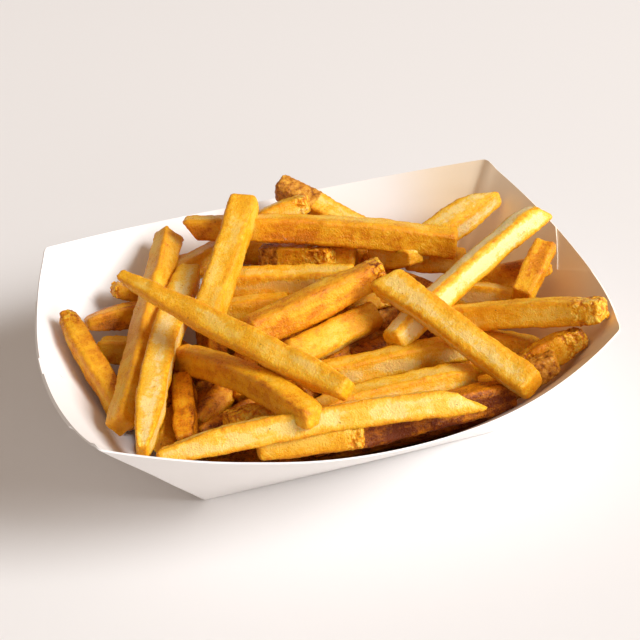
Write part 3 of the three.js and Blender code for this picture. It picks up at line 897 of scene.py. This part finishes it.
def give_looks(piece, points, fry, length, draw):
    """Stores what the potato's materials and reliefs read."""
    along, y, z = points.along, points.y, points.z
    corner = np.minimum(np.abs(y), np.abs(z)) * 2
    corner = np.clip((corner - CORNER_FROM) / CORNER_OVER, 0, 1)
    tip = np.exp(-points.left / TIP_REACH)
    face_tone = y * draw.uniform(*SIDE_TONE) + z * draw.uniform(*SIDE_TONE)
    crisp = np.maximum(
        end_mask(along, fry.crisp[0], CRISP_BORDER), end_mask(1 - along, fry.crisp[1], CRISP_BORDER)
    )
    skin = end_mask(along, fry.skin, SKIN_BORDER)
    give_values(piece.data, "tone", np.maximum(fry.tone + face_tone, fry.tone * PALEST_FACE))
    give_values(piece.data, "edge", np.maximum(corner, tip * TIP_EDGE))
    give_values(piece.data, "crisp", crisp)
    give_values(piece.data, "skin", skin)
    offset = draw.uniform(0, 1)
    streak = [along * length * GRAIN_STRETCH * MM + offset, y * fry.wide * MM, z * fry.thick * MM]
    grain = piece.data.attributes.new("grain", "FLOAT_VECTOR", "POINT")
    grain.data.foreach_set("vector", np.stack(streak, 1).astype(np.float32).ravel())
    give_weights(piece, "ragged", np.maximum(corner, tip))
    give_weights(piece, "blistered", np.maximum(crisp, skin * SKIN_BLISTER))


def made_fry(blank, fry, draw):
    """A copy of the blank, shaped and placed as one fry, with its looks stored on its points."""
    piece = copied(blank)
    start, length, ahead, side, up, across, above = fry_axes(fry)
    points = blank_points(piece, length)
    taper = np.minimum(points.by_end(fry.taper), length * LONGEST_TAPER)
    wide, thick = fry_section(points, fry, taper, length, draw)
    lean = fry_lean(points, fry, taper, draw)
    arch = 4 * points.along * (1 - points.along)
    sideways, upward = (
        arch * bow + wander(points.along, length, draw, wave, SWAY)
        for bow, wave in zip(fry.bow, SWAY_WAVES)
    )
    lie = (
        np.array(start)[None, :]
        + np.outer(points.along * length + lean, ahead)
        + np.outer(sideways, side)
        + np.outer(upward, up)
        + np.outer(wide, across)
        + np.outer(thick, above)
    )
    move_points(piece.data, lie * MM)
    give_looks(piece, points, fry, length, draw)
    return piece


def fry_kind(name, fries, blanks, draw, finer=0):
    """All fries of one kind as one piece, with finer times more detail where they are rough."""
    made = []
    for fry in fries:
        length = (Vector(fry.end) - Vector(fry.start)).length
        blank = blanks[0] if length > LONG_FRY else blanks[1] if length > SHORT_FRY else blanks[2]
        made.append(made_fry(blank, fry, draw))
    piece = joined(made, name)
    if finer:
        apply_modifier(piece, "SUBSURF", levels=finer, render_levels=finer, subdivision_type="SIMPLE")
    for width, depth, detail, weights in FRY_RELIEFS:
        relief(piece, width, depth, weights, detail)
    activate(piece)
    bpy.ops.object.shade_smooth()
    return piece


def bed_fries(layer):
    """The fries on the core, set out on an even spiral and turned each a little further."""
    fries = []
    drop, shrink, turn = BED_LAYERS[layer]
    for i in range(BED_COUNT):
        reach = math.sqrt((i + 0.5) / BED_COUNT) * shrink
        angle, heading = i * GOLDEN + layer, i * BED_TURN + turn
        half = mix(*BED_HALF, reach)
        x, y = BED_REACH[0] * reach * math.cos(angle), BED_REACH[1] * reach * math.sin(angle)
        height = mix(*BED_HEIGHTS, reach**2) - drop
        step = (half * math.cos(heading), half * math.sin(heading))
        start = (x - step[0], y - step[1], height)
        end = (x + step[0], y + step[1], height + i % 3 - 1)
        # darker tones paint the shade that these low fries lie in
        tone = mix(*BED_SHADE_TONES, i * GOLDEN % 1)
        fries.append(Fry(start, end, BED_SIDE, BED_SIDE, (i * BED_ROLL) % 90, ends=BED_ENDS, tone=tone))
    return fries


def new_crumbs(ground, draw):
    """Small crumbs, each lying where it would fall on the ground pieces."""
    deselect_all()
    bpy.ops.mesh.primitive_ico_sphere_add(subdivisions=2, radius=0.5)
    blank = bpy.context.object
    crumbs = []
    bpy.context.view_layer.update()
    for _ in range(CRUMB_COUNT):
        reach, angle = math.sqrt(draw.random()), draw.uniform(0, 2 * math.pi)
        above = Vector((math.cos(angle) * CRUMB_REACH[0], math.sin(angle) * CRUMB_REACH[1], 0)) * reach
        above.z = CRUMB_DROP
        hits = [piece.ray_cast(above * MM, (0, 0, -1)) for piece in ground]
        _, place, normal, _ = max((hit for hit in hits if hit[0]), key=lambda hit: hit[1].z)
        crumb = copied(blank)
        size = draw.uniform(*CRUMB_SIZES) * MM
        stretch = [size * draw.uniform(*CRUMB_STRETCH) for _ in range(3)]
        middle = np.array(place + normal * size * CRUMB_RISE)
        move_points(crumb.data, points_of(crumb.data) * stretch + middle)
        give_values(crumb.data, "tone", np.full(len(crumb.data.vertices), draw.uniform(*CRUMB_TONES)))
        crumbs.append(crumb)
    bpy.data.objects.remove(blank)
    crumbs = joined(crumbs, "fries_crumbs")
    relief(crumbs, *CRUMB_LUMPS)
    activate(crumbs)
    bpy.ops.object.shade_smooth()
    return crumbs


def new_core():
    """The mound that closes the view between the lowest fries; its rim runs along the walls."""
    deselect_all()
    bpy.ops.mesh.primitive_grid_add(x_subdivisions=CORE_STEPS[0], y_subdivisions=CORE_STEPS[1], size=2)
    core = bpy.context.object
    bpy.ops.object.mode_set(mode="EDIT")
    select_border()
    bpy.ops.mesh.extrude_edges_move()
    bpy.ops.transform.translate(value=(0, 0, -1))
    bpy.ops.mesh.edge_face_add()
    bpy.ops.object.mode_set(mode="OBJECT")
    for vertex in core.data.vertices:
        flat = vertex.co.copy()
        reach = max(abs(flat.x), abs(flat.y))
        up = CORE_LEVELS[0] if flat.z < -0.5 else CORE_LEVELS[1]
        rim = folded(Vector((flat.x, flat.y, 0)) / reach * (1 + up))
        inward = (1 - CORE_GAP / rim.xy.length) * reach
        height = CORE_FOOT if flat.z < -0.5 else mix(CORE_TOP, CORE_EDGE, reach**2)
        vertex.co = Vector((rim.x * inward, rim.y * inward, height)) * MM
    align_faces(core)
    give_weights(core, "mound", smooth((points_of(core.data)[:, 2] / MM - CORE_FOOT) / LUMPS_OVER))
    for width, depth in CORE_LUMPS:
        relief(core, width, depth, weights="mound")
    # a dark tone that paints the shade deep in the heap
    give_values(core.data, "tone", np.full(len(core.data.vertices), CORE_SHADE_TONE))
    activate(core)
    bpy.ops.object.shade_smooth()
    core.name = "fries_core"
    return core


# ---- Settings ----


def color_setting(name, description, default):
    return FloatVectorProperty(
        name=name, description=description, default=default, subtype="COLOR", size=3, min=0, max=1
    )


class FrySettings(bpy.types.PropertyGroup):
    """Looks of the fries."""

    seed: IntProperty(name="Seed", description="Seed of every random draw", default=7)
    pale: color_setting("Pale", "Colour of a barely browned face", (0.97, 0.76, 0.36))
    straw: color_setting("Straw", "Colour of a lightly fried face", (0.95, 0.56, 0.07))
    golden: color_setting("Golden", "Colour of a well fried face", (0.93, 0.45, 0.01))
    amber: color_setting("Amber", "Colour of a browned edge", (0.72, 0.23, 0.001))
    brown: color_setting("Brown", "Colour of a crisp end", (0.21, 0.038, 0.001))


class TraySettings(bpy.types.PropertyGroup):
    """Sizes and colour of the tray's sheet."""

    board: FloatProperty(
        name="Board", description="Thickness of the paperboard", default=0.5 * MM, min=0.1 * MM,
        unit="LENGTH",
    )
    crease: FloatProperty(
        name="Crease", description="Radius of a fold", default=0.9 * MM, min=0.1 * MM, unit="LENGTH",
    )
    color: color_setting("Colour", "Colour of the board", (0.90, 0.865, 0.84))
    # the colour of the painted warm bounce light from the fries on the board's inside
    painted_bounce: color_setting("Painted bounce", "Colour of the board where it has taken up oil", (0.97, 0.76, 0.48))


class StageSettings(bpy.types.PropertyGroup):
    """Floor and light."""

    floor: color_setting("Floor", "Colour of the floor", (0.82, 0.80, 0.79))
    key: FloatProperty(
        name="Key light", description="Power of the main light", default=475.0, min=0, unit="POWER",
    )
    fill: FloatProperty(
        name="Fill light", description="Power of the low light in front", default=80.0, min=0, unit="POWER",
    )
    sky: FloatProperty(name="Sky", description="Strength of the light from all round", default=0.4, min=0)


# ---- Operators ----


class FRIES_OT_tray(bpy.types.Operator):
    """Fold the paperboard tray"""

    bl_idname = "fries.tray"
    bl_label = "Food Tray"

    def execute(self, context):
        tray = new_tray(context.scene.tray_settings)
        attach(tray, "root")
        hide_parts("tray")
        return {"FINISHED"}


class FRIES_OT_fries(bpy.types.Operator):
    """Lay the fries that show, and those beneath them"""

    bl_idname = "fries.fries"
    bl_label = "Fries"

    def execute(self, context):
        settings = context.scene.fry_settings
        draw = random.Random(settings.seed)
        colors = (settings.pale, settings.straw, settings.golden, settings.amber, settings.brown)
        group = browning_group(list(zip(BROWNING_STOPS, colors)))
        peeled = potato_material("Fried potato", group)
        unpeeled = potato_material("Fried potato with skin", group, SKIN_COLORS)
        blanks = [fry_blank(count) for count in STATIONS]
        pieces = [
            (fry_kind("fries_plain", PLAIN_FRIES + BACK_FRIES, blanks, draw), peeled),
            (fry_kind("fries_rough", ROUGH_FRIES, blanks, draw, finer=1), unpeeled),
            (fry_kind("fries_beneath", bed_fries(0) + bed_fries(1), blanks, draw), peeled),
            (new_core(), peeled),
        ]
        ground = [piece for piece, _ in pieces] + [bpy.data.objects["tray_board"]]
        pieces.append((new_crumbs(ground, draw), peeled))
        for piece, material in pieces:
            piece.data.materials.clear()
            piece.data.materials.append(material)
            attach(piece, "root")
            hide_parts("fries")
        for blank in blanks:
            bpy.data.objects.remove(blank)
        return {"FINISHED"}


class FRIES_OT_stage(bpy.types.Operator):
    """Set the floor, the light and the camera"""

    bl_idname = "fries.stage"
    bl_label = "Stage"

    def execute(self, context):
        settings = context.scene.stage_settings
        deselect_all()
        bpy.ops.mesh.primitive_plane_add(size=FLOOR_SIZE, location=(0, 0, 0))
        floor = context.object
        floor.name = "floor"
        material, _, shader = new_material("Floor")
        shader.inputs["Base Color"].default_value = (*settings.floor, 1)
        shader.inputs["Roughness"].default_value = FLOOR_ROUGHNESS
        shader.inputs["Specular IOR Level"].default_value = FLOOR_GLOSS
        floor.data.materials.append(material)
        world = bpy.data.worlds.new("Studio")
        context.scene.world = world
        world.use_nodes = True
        background = world.node_tree.nodes["Background"]
        background.inputs["Color"].default_value = (*SKY_COLOR, 1)
        background.inputs["Strength"].default_value = settings.sky
        for name, direction, power in (
            ("key_light", LAMP_TOWARDS, settings.key),
            ("fill_light", FILL_TOWARDS, settings.fill),
        ):
            towards = Vector(direction).normalized()
            bpy.ops.object.light_add(type="AREA", location=towards * LAMP_DISTANCE)
            lamp = context.object
            lamp.name = name
            lamp.rotation_euler = towards.to_track_quat("Z", "Y").to_euler()
            lamp.data.energy = power
            lamp.data.size = LAMP_SIZE
            lamp.data.color = LAMP_COLOR
        az, el, roll = (math.radians(value) for value in (AZIMUTH, ELEVATION, ROLL))
        back = Vector((math.sin(az) * math.cos(el), -math.cos(az) * math.cos(el), math.sin(el)))
        level = (-back).cross(Vector((0, 0, 1))).normalized()
        upright = back.cross(level)
        right = level * math.cos(roll) + upright * math.sin(roll)
        top = upright * math.cos(roll) - level * math.sin(roll)
        turned = Matrix((right, top, back)).transposed()
        bpy.ops.object.camera_add(location=TARGET + back * DISTANCE, rotation=turned.to_euler())
        camera = context.object
        camera.data.lens = LENS
        camera.data.sensor_width = SENSOR
        context.scene.camera = camera
        context.scene.view_settings.view_transform = "Standard"
        return {"FINISHED"}


class FRIES_PT_panel(bpy.types.Panel):
    """Lists the pieces in the sidebar"""

    bl_idname = "FRIES_PT_panel"
    bl_label = "Fries in a Tray"
    bl_space_type = "VIEW_3D"
    bl_region_type = "UI"
    bl_category = "Fries"

    def draw(self, context):
        for operator in OPERATORS:
            self.layout.operator(operator.bl_idname)


OPERATORS = (FRIES_OT_tray, FRIES_OT_fries, FRIES_OT_stage)
SETTINGS = {"fry_settings": FrySettings, "tray_settings": TraySettings, "stage_settings": StageSettings}
CLASSES = (*SETTINGS.values(), *OPERATORS, FRIES_PT_panel)


def register():
    for each in CLASSES:
        bpy.utils.register_class(each)
    for name, kind in SETTINGS.items():
        setattr(bpy.types.Scene, name, PointerProperty(type=kind))


def unregister():
    for name in SETTINGS:
        delattr(bpy.types.Scene, name)
    for each in reversed(CLASSES):
        bpy.utils.unregister_class(each)


def main():
    register()
    bpy.ops.fries.tray()
    bpy.ops.fries.fries()
    bpy.ops.fries.stage()


if __name__ == "__main__":
    main()
